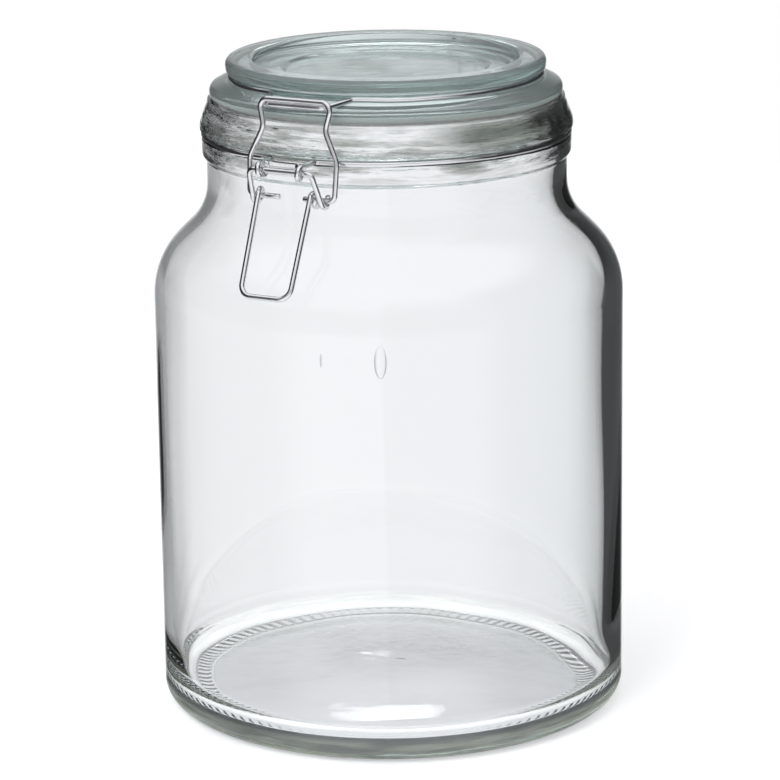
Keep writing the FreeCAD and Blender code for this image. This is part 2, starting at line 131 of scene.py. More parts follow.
def closed_shell(grid, loop=False):
    """Points and faces of a grid that is closed round its second direction.

    Its first direction ends in a pole at each end, where rows 0 and -1 shrink to their mean
    point, or with loop it closes on itself.
    """
    columns = grid.shape[1]
    ring = np.arange(columns)
    after = np.roll(ring, -1)
    inner = grid if loop else grid[1:-1]
    points = inner.reshape(-1, 3)
    row = np.arange(len(inner)) if loop else np.arange(len(inner) - 1)
    low = (row * columns)[:, None]
    high = ((row + 1) % len(inner) * columns)[:, None]
    faces = np.stack([low + ring, low + after, high + after, high + ring], -1).reshape(-1, 4).tolist()
    if not loop:
        points = np.concatenate([points, grid[:1].mean(1), grid[-1:].mean(1)])
        first, last = len(points) - 2, len(points) - 1
        top = (len(inner) - 1) * columns
        faces += np.stack([np.full(columns, first), after, ring], -1).tolist()
        faces += np.stack([np.full(columns, last), top + ring, top + after], -1).tolist()
    return points, faces


def mesh_piece(name, *shells):
    """One object made of closed shells, in millimetres; an inside-out shell is a hollow."""
    points, faces = [], []
    for shell_points, shell_faces in shells:
        start = sum(len(block) for block in points)
        points.append(shell_points)
        faces += [[start + corner for corner in face] for face in shell_faces]
    mesh = bpy.data.meshes.new(name)
    mesh.from_pydata((np.concatenate(points) * MM).tolist(), [], faces)
    mesh.shade_smooth()
    piece = bpy.data.objects.new(name, mesh)
    bpy.context.scene.collection.objects.link(piece)
    return piece


def bubble(azimuth, reach, up, half):
    """The grid of a bubble in the glass, turned inside out: centre + w sin t cos a across
    + d sin t sin a outward + h cos t up, with half sizes w, d and h."""
    outward = np.array([math.cos(azimuth), math.sin(azimuth), 0])
    across = np.array([math.sin(azimuth), -math.cos(azimuth), 0])
    t = np.linspace(math.pi, 0, 15)[:, None, None]
    a = np.linspace(2 * math.pi, 0, 28, endpoint=False)[None, :, None]
    round_it = across * half[0] * np.cos(a) + outward * half[1] * np.sin(a)
    middle, rise = outward * reach + np.array([0, 0, up]), np.array([0, 0, half[2]])
    return middle + round_it * np.sin(t) + rise * np.cos(t)


def turned(profile, columns, wander=0.0, swell=0.0):
    """The grid of a profile (radius, height) turned round Z: (r cos a, r sin a, z).

    wander is added to the radius and swell to the height at each point of the grid, for glass
    that is a little uneven.
    """
    angle = np.linspace(0, 2 * math.pi, columns, endpoint=False)[None, :]
    radius, height = profile[:, :1] + wander, profile[:, 1:] + swell
    return np.stack([radius * np.cos(angle), radius * np.sin(angle), height + 0 * angle], -1)


def wire_grid(route):
    """A round wire along a route: centre line + r (side cos a + rise sin a), ends rounded off.

    side and rise are carried along the line so that the wire doesn't twist.
    """
    line = bent_line(route, *WIRE_STEPS)
    keep = np.concatenate([[True], np.linalg.norm(np.diff(line, axis=0), axis=1) > 1e-4])
    line = line[keep]
    heading = np.gradient(line, axis=0)
    heading /= np.linalg.norm(heading, axis=1)[:, None]
    side = np.cross(heading[0], [0.0, 0.0, 1.0] if abs(heading[0][2]) < 0.8 else [0.0, 1.0, 0.0])
    sides = []
    for way in heading:
        side = unit(side - way * (way @ side))
        sides.append(side)
    sides = np.array(sides)
    rises = np.cross(heading, sides)
    # each end: a ring a little inside, then smaller rings out to the tip
    round_off = np.array([1.0, 0.94, 0.78, 0.5, 0.0])
    push = np.array([0.0, 0.10, 0.18, 0.22, 0.23])
    ends = len(round_off)
    line = np.concatenate([line[:1] - heading[:1] * push[::-1, None], line[1:-1],
                           line[-1:] + heading[-1:] * push[:, None]])
    sides = np.concatenate([np.repeat(sides[:1], ends, 0), sides[1:-1], np.repeat(sides[-1:], ends, 0)])
    rises = np.concatenate([np.repeat(rises[:1], ends, 0), rises[1:-1], np.repeat(rises[-1:], ends, 0)])
    size = np.concatenate([round_off[::-1], np.ones(len(line) - 2 * ends), round_off]) * WIRE / 2
    angle = np.linspace(0, 2 * math.pi, WIRE_SIDES, endpoint=False)[None, :, None]
    ring = sides[:, None] * np.cos(angle) + rises[:, None] * np.sin(angle)
    return line[:, None] + ring * size[:, None, None]


# ---------------------------------------------------------------- glass shapes

def section(*corners):
    """The line of a glass section through (radius, height, bend) corners, finely sampled."""
    route = [((radius, height), bend) for radius, height, bend in corners]
    return bent_line(route, *GLASS_STEPS)


def jar_section():
    """The jar's section: base centre, heel, shoulder, neck, bead, notch, collar and rim, then
    down inside to the floor's centre. Each corner is softened as molten glass is."""
    half = math.tan(SHOULDER_SLOPE / 2)
    slope_start = BODY_RADIUS - SHOULDER_RADIUS * (1 - math.cos(SHOULDER_SLOPE))
    slope_foot = BODY_HEIGHT + SHOULDER_RADIUS * math.sin(SHOULDER_SLOPE)
    neck_corner = slope_foot + (slope_start - NECK) / math.tan(SHOULDER_SLOPE)
    inner, neck_inner = BODY_RADIUS - WALL, NECK - WALL
    bearing = BODY_RADIUS - HEEL - BEARING_WIDTH
    low, high = NOTCH - WIRE / 2 - NOTCH_PLAY, NOTCH + WIRE / 2 + NOTCH_PLAY
    floor_edge = inner - INNER_HEEL
    return section(
        (0, PUNT_DEPTH + PUNT_DOME, 0),
        (bearing / 2, PUNT_DEPTH + PUNT_DOME, 400),
        (bearing - 2 * PUNT_DEPTH, PUNT_DEPTH, 2.5),
        (bearing, 0, 1.5),
        (BODY_RADIUS, 0, HEEL),
        (BODY_RADIUS, BODY_HEIGHT + SHOULDER_RADIUS * half, SHOULDER_RADIUS),
        (NECK, neck_corner, NECK_SWEEP),
        (NECK, BEAD_BOTTOM - 0.2, 1.6),
        (BEAD, BEAD_BOTTOM + 1.0, 1.6),
        (BEAD, low, 0.6),
        (BEAD - WIRE + NOTCH_PLAY, low, 0.3),
        (BEAD - WIRE + NOTCH_PLAY, high, 0.3),
        (COLLAR, high, 0.9),
        (COLLAR, high + 2.5, 14),
        (RIM_OUTER, RIM - RIM_ROUNDING, 8),
        (RIM_OUTER, RIM, RIM_ROUNDING),
        (MOUTH, RIM, RIM_ROUNDING),
        (MOUTH, RIM - MOUTH_LENGTH, 4),
        (neck_inner, RIM - MOUTH_LENGTH - 2 * (neck_inner - MOUTH), 5),
        (neck_inner, neck_corner - WALL * half, NECK_SWEEP + WALL),
        (inner, BODY_HEIGHT + (SHOULDER_RADIUS - WALL) * half, SHOULDER_RADIUS - WALL),
        (inner, FLOOR_THICKNESS, INNER_HEEL),
        (floor_edge / 2, FLOOR_THICKNESS + FLOOR_DOME, 400),
        (0, FLOOR_THICKNESS + FLOOR_DOME, 0),
    )


def lid_section():
    """The lid's section: hollow, plug, seat, flange, hoop groove, disc, dish and its step."""
    foot, plug_foot = RIM + LIP_GAP, RIM - PLUG_DEPTH
    hollow, hollow_up = PLUG - PLUG_WIDTH, RIM - PLUG_DEPTH + PLUG_HOLLOW
    groove_floor = DISC_FOOT - WIRE - 1.5 * PIECE_GAP
    dish_up = LID_TOP - DISH_DEPTH
    return section(
        (0, hollow_up, 0),
        (hollow - PLUG_HOLLOW, hollow_up, 3),
        (hollow, plug_foot, 0.6),
        (PLUG, plug_foot, 0.6),
        (PLUG + 0.5, SEAT, 0.3),
        (LIP_INNER, SEAT, 0.3),
        (LIP_INNER, foot, 0.35),
        (FLANGE, foot, 0.5),
        (FLANGE, foot + FLANGE_EDGE + 0.6, 2.2),
        (GROOVE + 2.6, groove_floor + 0.3, 3),
        (GROOVE, groove_floor, 0.4),
        (GROOVE, DISC_FOOT, 0.5),
        (DISC - 0.3, DISC_FOOT, 1.9),
        (DISC, LID_TOP, 2.1),
        (DISH, LID_TOP, 2.2),
        (DISH - 1.4, dish_up, 2.6),
        (STEP, dish_up, 1.8),
        (STEP - 1.5, dish_up - STEP_DEPTH, 1.8),
        (0, dish_up - STEP_DEPTH, 0),
    )


def seal_section():
    """The soft ring's section, a closed loop with rolled outer edges."""
    edge, middle, top = 0.4, (SEAL_INNER + SEAL_OUTER) / 2, SEAT - 0.06
    line = section(
        (middle, SEAL_FOOT, 0),
        (SEAL_OUTER, SEAL_FOOT, edge),
        (SEAL_OUTER, top, edge),
        (SEAL_INNER, top, edge),
        (SEAL_INNER, SEAL_FOOT, edge),
        (middle, SEAL_FOOT, 0),
    )
    return line[:-1]


def ripple(angle, height, waves):
    """Slow ripples round and up the glass: the sum of size * cos(turns * a + rate * z + start)."""
    return sum(size * np.cos(turns * angle + rate * height + start) for size, turns, rate, start in waves)


# how far the blown inner wall wanders, in millimetres: it sits a little to one side, so the
# wall is thicker there, and has long soft ripples
WALL_SHIFT, WALL_SHIFT_WAY = 1.3, math.radians(208)
INNER_WAVES = [(0.16, 2, 0.021, 0.4), (0.12, 3, -0.034, 2.1), (0.07, 5, 0.052, 1.3),
               (0.04, 9, -0.045, 0.2), (0.025, 14, 0.03, 4.0)]


def uneven_inside(profile, columns):
    """What is added to the radius of the inner wall, between floor and neck, at each point of
    the grid: a sideways shift of the wall and its ripples, faded out above and below."""
    angle = np.linspace(0, 2 * math.pi, columns, endpoint=False)[None, :]
    height = profile[:, 1:]
    inside = (np.arange(len(profile)) > np.argmax(profile[:, 1]))[:, None]
    rise = np.clip((height - FLOOR_THICKNESS - 2) / 20, 0, 1)
    fall = np.clip((NOTCH - 12 - height) / 30, 0, 1)
    fade = inside * rise ** 2 * (3 - 2 * rise) * fall ** 2 * (3 - 2 * fall)
    return fade * (WALL_SHIFT * np.cos(angle - WALL_SHIFT_WAY) + ripple(angle, height, INNER_WAVES))


def uneven_floor(profile, columns):
    """What is added to the height of the inner floor: a dimple in the middle, -d exp(-(r/w)^2),
    a low ring round it, and two crossed slow waves, all faded out towards the heel."""
    angle = np.linspace(0, 2 * math.pi, columns, endpoint=False)[None, :]
    radius, height = profile[:, :1], profile[:, 1:]
    inside = (np.arange(len(profile)) > np.argmax(profile[:, 1]))[:, None]
    fade = inside * np.clip((66 - radius) / 14, 0, 1) * (height < FLOOR_THICKNESS + 6)
    across, deep = radius * np.cos(angle), radius * np.sin(angle)
    dimple = -0.7 * np.exp(-(radius / 20) ** 2) + 0.2 * np.exp(-((radius - 36) / 12) ** 2)
    waves = 0.26 * np.cos(across / 13 + 0.6) * np.cos(deep / 17 - 0.9) + 0.14 * np.cos((across + deep) / 9)
    return fade * (dimple + waves)


# ---------------------------------------------------------------- bent wires

def place(facing, side, reach, up):
    """A point beside the jar: sideways, outward and up, at the front (-1) or the back (1)."""
    return np.array([side, facing * reach, up], float)


def around(centre, angle, facing, side):
    """The point of a coil's centre line at an angle, from outward (0) through up (90)."""
    turn = math.radians(angle)
    return place(facing, side, centre[0] + EYE * math.cos(turn), centre[1] + EYE * math.sin(turn))


def winding(facing, centre, angles, sides):
    """Wire wound round an axis along X, as the corners of the polygon that its arcs touch."""
    turns = max(1, round(abs(angles[1] - angles[0]) / 45))
    step = (angles[1] - angles[0]) / turns
    corner = EYE / math.cos(math.radians(step / 2))
    route = []
    for index in range(turns):
        part = (index + 0.5) / turns
        angle = math.radians(angles[0] + step * (index + 0.5))
        side = sides[0] + (sides[1] - sides[0]) * part
        reach, up = centre[0] + corner * math.cos(angle), centre[1] + corner * math.sin(angle)
        spot = place(facing, side, reach, up)
        route.append((spot, EYE))
    return route


def hoop_run(radius, up, azimuths):
    """Part of a level hoop round the jar, between two azimuths in degrees from +X."""
    parts = max(1, round(abs(azimuths[1] - azimuths[0]) / 30))
    step = (azimuths[1] - azimuths[0]) / parts
    corner = radius / math.cos(math.radians(step / 2))
    angles = np.radians(azimuths[0] + step * (np.arange(parts) + 0.5))
    return [(np.array([corner * math.cos(a), corner * math.sin(a), up]), radius) for a in angles]


def mirrored(route, shift=0.0):
    """The same route on the other side of the plane X = shift."""
    return [(spot * [-1, 1, 1] + [2 * shift, 0, 0], bend) for spot, bend in route]


def on_hoop(radius, side):
    """How far out a level hoop of this radius is at a sideways distance."""
    return math.sqrt(radius ** 2 - side ** 2)


def neck_hoop_route():
    """From the left front eye, round the notch and its hinge bar at the back, to the right eye."""
    open_end = -255
    ends, fronts = [], []
    for way in (-1, 1):
        side = EYE_SHIFT + way * EYE_HALF
        tip = around(LEVER_PIVOT, open_end, -1, side - way * PITCH)
        eye = winding(-1, LEVER_PIVOT, (90, open_end), (side, side - way * PITCH))
        root = (place(-1, side, on_hoop(HOOP_RADIUS, side), NOTCH), TIGHT)
        ends.append([(tip, 0)] + eye[::-1] + [root])
        fronts.append(-90 + math.degrees(math.asin(side / HOOP_RADIUS)))
    rear_angle = math.degrees(math.asin(HINGE_ROOT / HOOP_RADIUS))
    left = hoop_run(HOOP_RADIUS, NOTCH, (fronts[0], -270 + rear_angle))
    right = hoop_run(HOOP_RADIUS, NOTCH, (90 - rear_angle, fronts[1]))
    half_bar = [
        (place(1, -HINGE_ROOT, on_hoop(HOOP_RADIUS, HINGE_ROOT), NOTCH), 1.5 * TIGHT),
        (place(1, -HINGE_HALF, *HINGE), TIGHT),
    ]
    return ends[0] + left + half_bar + mirrored(half_bar)[::-1] + right + ends[1][::-1]


def lid_hoop_route():
    """From one hinge eye over the flange, round the groove with its catch, to the other eye."""
    up = DISC_FOOT - WIRE / 2 - PIECE_GAP
    radius = GROOVE + WIRE / 2 + 2 * NOTCH_PLAY
    closed_end = 525
    tip = around(HINGE, closed_end, 1, -HINGE_EYE - PITCH)
    arm = [(tip, 0)] + winding(1, HINGE, (180, closed_end), (-HINGE_EYE, -HINGE_EYE - PITCH))[::-1]
    arm += [
        (place(1, -HINGE_EYE, HINGE[0] - EYE, up), 2 * TIGHT),
        (place(1, -HINGE_EYE, on_hoop(radius, HINGE_EYE), up), TIGHT),
    ]
    rear_angle = math.degrees(math.asin(HINGE_EYE / radius))
    root_angle = math.degrees(math.asin(CATCH_ROOT / radius))
    apart = WIRE + 1.2 * PIECE_GAP
    catch_up = BAIL_BAR[1] - math.sqrt(apart ** 2 - CATCH_INSET ** 2)
    left = hoop_run(radius, up, (90 + rear_angle, 270 - root_angle))
    left += [
        (place(-1, -CATCH_ROOT, on_hoop(radius, CATCH_ROOT), up), 1.5 * TIGHT),
        (place(-1, -CATCH_HALF, BAIL_BAR[0] - CATCH_INSET, catch_up), TIGHT),
    ]
    return arm + left + mirrored(arm + left)[::-1]


def lever_route():
    """Open hook, crank, rod through the eyes, crank, coil, handle, coil."""
    rod, pin = LEVER_PIVOT, BAIL_PIVOT
    crank = math.degrees(math.atan2(pin[1] - rod[1], pin[0] - rod[0])) + 90
    arrive = crank + math.degrees(math.asin(EYE / math.hypot(rod[0] - pin[0], rod[1] - pin[1])))
    leave = math.degrees(math.atan2(HANDLE_REACH, HANDLE_DROP))
    leave += math.degrees(math.asin(EYE / math.hypot(HANDLE_REACH, HANDLE_DROP)))
    left = BAIL_SHIFT - BAIL_FOOT + WIRE + COIL_GAP
    hook = BAIL_SHIFT + BAIL_FOOT - WIRE - HOOK_GAP
    right = hook - WIRE - PITCH - 2 * PIECE_GAP
    rod_right = EYE_SHIFT + EYE_HALF + WIRE / 2 + TIGHT + PIECE_GAP
    hook_start, right_turn = 150, 340
    handle = (pin[0] + HANDLE_REACH, pin[1] - HANDLE_DROP)
    route = [(around(pin, hook_start, -1, hook), 0)]
    route += winding(-1, pin, (hook_start, 360 + arrive), (hook, hook))
    route += [(place(-1, rod_right, *rod), TIGHT), (place(-1, left, *rod), TIGHT)]
    route += winding(-1, pin, (arrive, leave - 360), (left, left + PITCH))
    route += [(place(-1, HANDLE_SHIFT + way * HANDLE_HALF, *handle), 2 * TIGHT) for way in (-1, 1)]
    route += winding(-1, pin, (leave, leave + right_turn), (right, right + PITCH))
    return route + [(around(pin, leave + right_turn, -1, right + PITCH), 0)]


def bail_route():
    """From one pin tip up the waisted leg, over the bar and down to the other pin tip."""

    def corner(half, part, bend):
        reach = BAIL_PIVOT[0] + (BAIL_BAR[0] - BAIL_PIVOT[0]) * part
        up = BAIL_PIVOT[1] + (BAIL_BAR[1] - BAIL_PIVOT[1]) * part
        return (place(-1, BAIL_SHIFT - half, reach, up), bend)

    half = [
        corner(BAIL_FOOT - BAIL_PIN, 0, 0),
        corner(BAIL_FOOT, 0, TIGHT),
        corner(*BAIL_FLARE, 3 * WIRE),
        corner(*BAIL_WAIST, 3 * WIRE),
        corner(BAIL_TOP, 1, 1.5 * WIRE),
    ]
    return half + mirrored(half, BAIL_SHIFT)[::-1]


# ---------------------------------------------------------------- materials

def shader(name, **sockets):
    """A new material, its node tree and its Principled shader with plain socket values."""
    material = bpy.data.materials.new(name)
    material.use_nodes = True
    nodes, links = material.node_tree.nodes, material.node_tree.links
    principled = nodes["Principled BSDF"]
    for socket, value in sockets.items():
        principled.inputs[socket.replace("_", " ")].default_value = value
    return material, nodes, links, principled


def grain_group():
    """A node group: noise over Object coordinates, stretched along chosen axes. Noise is its raw
    value, and Fitted carries it from From..To to Low..High."""
    group = bpy.data.node_groups.new("grain", "ShaderNodeTree")
    plain_values = {"Scale": 50.0, "Detail": 2.0, "From": 0.3, "To": 0.7, "Low": 0.0, "High": 1.0}
    for name, value in plain_values.items():
        socket = group.interface.new_socket(name, in_out="INPUT", socket_type="NodeSocketFloat")
        socket.default_value = value
    stretch = group.interface.new_socket("Stretch", in_out="INPUT", socket_type="NodeSocketVector")
    stretch.default_value = (1, 1, 1)
    for name in ("Noise", "Fitted"):
        group.interface.new_socket(name, in_out="OUTPUT", socket_type="NodeSocketFloat")
    nodes, links = group.nodes, group.links
    given, result = nodes.new("NodeGroupInput"), nodes.new("NodeGroupOutput")
    place_at, mapping = nodes.new("ShaderNodeTexCoord"), nodes.new("ShaderNodeMapping")
    texture, fit = nodes.new("ShaderNodeTexNoise"), nodes.new("ShaderNodeMapRange")
    links.new(place_at.outputs["Object"], mapping.inputs["Vector"])
    links.new(given.outputs["Stretch"], mapping.inputs["Scale"])
    links.new(mapping.outputs["Vector"], texture.inputs["Vector"])
    for name in ("Scale", "Detail"):
        links.new(given.outputs[name], texture.inputs[name])
    for name, socket in (("From", "From Min"), ("To", "From Max"), ("Low", "To Min"), ("High", "To Max")):
        links.new(given.outputs[name], fit.inputs[socket])
    links.new(texture.outputs["Fac"], fit.inputs["Value"])
    links.new(texture.outputs["Fac"], result.inputs["Noise"])
    links.new(fit.outputs["Result"], result.inputs["Fitted"])
    return group


def grain(nodes, **values):
    """Places the grain group in a material, with this material's own values."""
    node = nodes.new("ShaderNodeGroup")
    node.node_tree = GRAIN
    for name, value in values.items():
        node.inputs[name].default_value = value
    return node


def joined(nodes, links, operation, first, second=None):
    """A maths node on one or two values; each may be a number or another node's output."""
    node = nodes.new("ShaderNodeMath")
    node.operation = operation
    for socket, value in zip(node.inputs, (first, second)):
        if isinstance(value, (int, float)):
            socket.default_value = value
        elif value is not None:
            links.new(value, socket)
    return node.outputs["Value"]


def fitted(nodes, links, value, low, high, start=0.3, end=0.7):
    """value, carried from start..end to low..high."""
    fit = nodes.new("ShaderNodeMapRange")
    for socket, number in (("From Min", start), ("From Max", end), ("To Min", low), ("To Max", high)):
        fit.inputs[socket].default_value = number
    links.new(value, fit.inputs["Value"])
    return fit.outputs["Result"]


def bumped(nodes, links, height, principled, strength, distance):
    """Feeds a height into the shader's Normal through a Bump node."""
    bump = nodes.new("ShaderNodeBump")
    bump.inputs["Strength"].default_value = strength
    bump.inputs["Distance"].default_value = distance
    links.new(height, bump.inputs["Height"])
    links.new(bump.outputs["Normal"], principled.inputs["Normal"])


def masked(nodes, links, value, zone):
    """1 where value lies between the zone's start and end, fading over its third number at both."""
    start, end, soft = zone
    rise = fitted(nodes, links, value, 0.0, 1.0, start - soft, start + soft)
    fall = fitted(nodes, links, value, 1.0, 0.0, end - soft, end + soft)
    return joined(nodes, links, "MULTIPLY", rise, fall)


def mixed(nodes, links, factor, first, second):
    """A colour that goes from first to second as factor goes from 0 to 1."""
    node = nodes.new("ShaderNodeMix")
    node.data_type = "RGBA"
    links.new(factor, node.inputs["Factor"])
    colours = [socket for socket in node.inputs if socket.type == "RGBA"]
    for socket, colour in zip(colours, (first, second)):
        socket.default_value = (*colour, 1)
    return next(socket for socket in node.outputs if socket.type == "RGBA")


def glass(name, tint, density, surface=(1, 1, 1), clearness=1.0):
    """Clear glass whose tint deepens with thickness, and the parts for its surface."""
    material, nodes, links, principled = shader(
        name, Base_Color=(*surface, 1), Metallic=0.0, Roughness=0.0, IOR=1.52,
        Transmission_Weight=clearness)
    absorb = nodes.new("ShaderNodeVolumeAbsorption")
    absorb.inputs["Color"].default_value = (*tint, 1)
    absorb.inputs["Density"].default_value = density
    links.new(absorb.outputs["Volume"], nodes["Material Output"].inputs["Volume"])
    return material, nodes, links, principled


GRAIN = grain_group()
JAR_TINT, JAR_DENSITY = (0.50, 0.68, 0.64), 7.0
LID_TINT, LID_DENSITY, LID_SURFACE, LID_CLEARNESS = (0.42, 0.66, 0.62), 11.0, (0.88, 0.95, 0.94), 0.89
# zones of the jar in metres, by height or by radius: from, to, and how far each end fades
COLLAR_ZONE, PAINTED_SHADE_ZONE = (0.187, 0.2025, 0.002), (0.1945, 0.2025, 0.0015)
HEEL_ZONE = (0.0004, 0.0075, 0.0008)
BEARING_ZONE, BEARING_TOP = (0.0625, 0.0695, 0.0005), 0.0016
UNDERSIDE_TOP, UNDERSIDE_RADIUS, HEEL_RADIUS = 0.0046, 0.0715, 0.071
# painted shade on one side of the collar, under the lid's flange: the way it faces and how dark it gets,
# and how dark the thin lines get
PAINTED_SHADE_WAY, PAINTED_SHADE_MOST, LINES_MOST = 0.25, 0.88, 0.75
# the colour of the collar's painted shade and thin lines, and the colour of the heel's painted glow
SHADE_AND_LINE_COLOUR, HEEL_PAINTED_GLOW = (0.10, 0.12, 0.09), (0.115, 0.13, 0.10)
# heights of the bump in millimetres, and how much rougher the underside and the heel are
RIPPLE_HIGH, COLLAR_HIGH, HEEL_HIGH, SPOKES_HIGH = 0.10, 0.8, 0.25, 0.22
UNDERSIDE_ROUGH, HEEL_ROUGH = 0.28, 0.06


def jar_glass():
    """Blown glass: slow ripples, a streaky pressed collar, and a stippled ring to stand on."""
    material, nodes, links, principled = glass("jar_glass", JAR_TINT, JAR_DENSITY)
    spot = nodes.new("ShaderNodeSeparateXYZ")
    links.new(nodes.new("ShaderNodeTexCoord").outputs["Object"], spot.inputs["Vector"])
    across, deep, up = spot.outputs

    def maths(operation, first, second=None):
        return joined(nodes, links, operation, first, second)

    def both(first, second):
        return maths("MULTIPLY", first, second)

    radius = maths("SQRT", maths("ADD", both(across, across), both(deep, deep)))
    azimuth = maths("ARCTAN2", deep, across)
    collar = masked(nodes, links, up, COLLAR_ZONE)
    heel = masked(nodes, links, up, HEEL_ZONE)
    underside = both(maths("LESS_THAN", up, UNDERSIDE_TOP), maths("LESS_THAN", radius, UNDERSIDE_RADIUS))
    bearing = both(masked(nodes, links, radius, BEARING_ZONE), maths("LESS_THAN", up, BEARING_TOP))
    # the stippling: sin(count * azimuth), deepest at the sides
    beside = maths("ABSOLUTE", maths("COSINE", maths("SUBTRACT", azimuth, FRONT + math.pi / 2)))
    spokes = maths("SINE", both(azimuth, STIPPLE_COUNT))
    spokes = both(spokes, fitted(nodes, links, beside, 0.3, 1.0, 0.3, 0.9))
    ripples = grain(nodes, Scale=26.0, Detail=1.0, Stretch=(1.0, 1.0, 0.45)).outputs["Noise"]
    streaks = grain(nodes, Scale=48.0, Detail=3.0, Stretch=(1.0, 1.0, 9.0)).outputs["Noise"]

    # thin lines in the pressed collar, and painted shade on one side of it, just under the lid's flange
    facing = maths("COSINE", maths("ADD", azimuth, PAINTED_SHADE_WAY))
    painted_shade = fitted(nodes, links, facing, 0.0, PAINTED_SHADE_MOST, 0.78, 0.95)
    painted_shade = both(painted_shade, masked(nodes, links, up, PAINTED_SHADE_ZONE))
    lines = both(fitted(nodes, links, streaks, 0.0, LINES_MOST, 0.46, 0.60), collar)
    tinted = mixed(nodes, links, maths("MAXIMUM", painted_shade, lines), (1, 1, 1), SHADE_AND_LINE_COLOUR)
    links.new(tinted, principled.inputs["Base Color"])

    # painted glow: emission on the thick heel, standing in for the light that it gathers
    edge = both(heel, maths("GREATER_THAN", radius, HEEL_RADIUS))
    edge = both(edge, fitted(nodes, links, streaks, 0.2, 1.0, 0.4, 0.6))
    links.new(mixed(nodes, links, edge, (0, 0, 0), HEEL_PAINTED_GLOW), principled.inputs["Emission Color"])
    principled.inputs["Emission Strength"].default_value = 1.0

    height = both(ripples, RIPPLE_HIGH)
    height = maths("ADD", height, both(both(streaks, collar), COLLAR_HIGH))
    height = maths("ADD", height, both(both(streaks, heel), HEEL_HIGH))
    height = maths("ADD", height, both(both(spokes, bearing), SPOKES_HIGH))
    bumped(nodes, links, height, principled, 1.0, MM)
    smear = fitted(nodes, links, ripples, 0.0, 0.02, 0.55, 0.8)
    satin = maths("ADD", both(underside, UNDERSIDE_ROUGH), both(heel, HEEL_ROUGH))
    links.new(maths("ADD", smear, satin), principled.inputs["Roughness"])
    return material


def lid_glass():
    """Pressed glass, greener and a little cloudy, with the faint orange peel of its mould."""
    material, nodes, links, principled = glass(
        "lid_glass", LID_TINT, LID_DENSITY, LID_SURFACE, LID_CLEARNESS)
    peel = grain(nodes, Scale=110.0, Detail=1.0)
    bumped(nodes, links, peel.outputs["Noise"], principled, 1.0, 0.05 * MM)
    smear = grain(nodes, Scale=60.0, Detail=1.0, Low=0.03, High=0.07, From=0.5, To=0.8)
    links.new(smear.outputs["Fitted"], principled.inputs["Roughness"])
    return material


def steel_wire():
    """Bright drawn steel: fine marks, a little dulling, no rust."""
    material, nodes, links, principled = shader(
        "steel_wire", Base_Color=(0.80, 0.80, 0.81, 1), Metallic=1.0, Roughness=0.10)
    dulling = grain(nodes, Scale=350.0, Detail=3.0, Low=0.05, High=0.17)
    links.new(dulling.outputs["Fitted"], principled.inputs["Roughness"])
    marks = grain(nodes, Scale=1400.0)
    bumped(nodes, links, marks.outputs["Noise"], principled, 0.25, 0.04 * MM)
    return material


def silicone():
    """Pale grey silicone with a satin skin."""
    material, nodes, links, principled = shader(
        "silicone", Base_Color=(0.62, 0.63, 0.60, 1), Metallic=0.0, Roughness=0.35, IOR=1.41)
    skin = grain(nodes, Scale=900.0, Low=0.28, High=0.45)
    links.new(skin.outputs["Fitted"], principled.inputs["Roughness"])
    return material


# ---------------------------------------------------------------- the pieces

def finish_piece(piece, node, body, material):
    """Gives a piece its material, hangs it on the empty of the body it rides on, and hides the CAD node
    that it stands in for.
    """
    piece.data.materials.append(material)
    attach(piece, body)
    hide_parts(node)


SEGMENTS, LID_SEGMENTS, SEAL_SEGMENTS = 320, 384, 192
# small bubbles left in the glass: azimuth, reach and height of each, and its half sizes
BUBBLES = [
    (FRONT - 0.038, BODY_RADIUS - WALL / 2, 132.8, (1.9, 0.35, 5.2)),
    (FRONT - 0.285, BODY_RADIUS - WALL / 2, 133.0, (0.35, 0.15, 2.3)),
    (FRONT + 2.8, 9.0, 5.2, (1.6, 0.7, 0.4)),
]

jar_line = jar_section()
jar_grid = turned(jar_line, SEGMENTS, uneven_inside(jar_line, SEGMENTS), uneven_floor(jar_line, SEGMENTS))
jar_shell = closed_shell(jar_grid)
bubble_shells = [closed_shell(bubble(*where)) for where in BUBBLES]
finish_piece(mesh_piece("jar_glass", jar_shell, *bubble_shells), "jar", "jar", jar_glass())
lid_shell = closed_shell(turned(lid_section(), LID_SEGMENTS))
finish_piece(mesh_piece("lid_glass", lid_shell), "lid", "lid", lid_glass())
seal_shell = closed_shell(turned(seal_section(), SEAL_SEGMENTS), loop=True)
finish_piece(mesh_piece("seal", seal_shell), "seal_ring", "lid", silicone())
steel = steel_wire()
for name, body, route in (
    ("neck_hoop", "jar", neck_hoop_route()),
    ("lid_hoop", "lid", lid_hoop_route()),
    ("lever", "lever", lever_route()),
    ("bail", "bail", bail_route()),
):
    wire = mesh_piece(name + "_wire", closed_shell(wire_grid(route)))
    finish_piece(wire, name, body, steel)


# ---------------------------------------------------------------- camera, stage and light

CAMERA_AZIMUTH, CAMERA_DISTANCE, CAMERA_HEIGHT = math.radians(28.6), 1.1628, 0.4111
CAMERA_PITCH, CAMERA_ROLL, CAMERA_LENS = math.radians(14.80), -0.0133, 166.4

# the floor's half size and drop, how far out glass still shows it, and what is added to it for
# the camera and through the glass
FLOOR_HALF, FLOOR_DROP, FLOOR_SEEN = 0.9, 0.0003, (0.071, 0.085)
FLOOR_LIFT, FLOOR_GLOW = 0.3, 0.6
# the surround's brightness by degrees from straight behind: from, to, brightness at each
RIGHT_DARK, RIGHT_END = (11.0, 28.0, 0.96, 0.48), (34.0, 46.0, 0.0, 0.9)
LEFT_DARK, LEFT_END = (-24.0, -5.0, 0.56, 0.96), (-60.0, -42.0, 0.85, 0.0)
MIRROR_DARK, MIRROR_END = (8.0, 20.0, 0.9, 0.05), (112.0, 145.0, 0.0, 1.1)
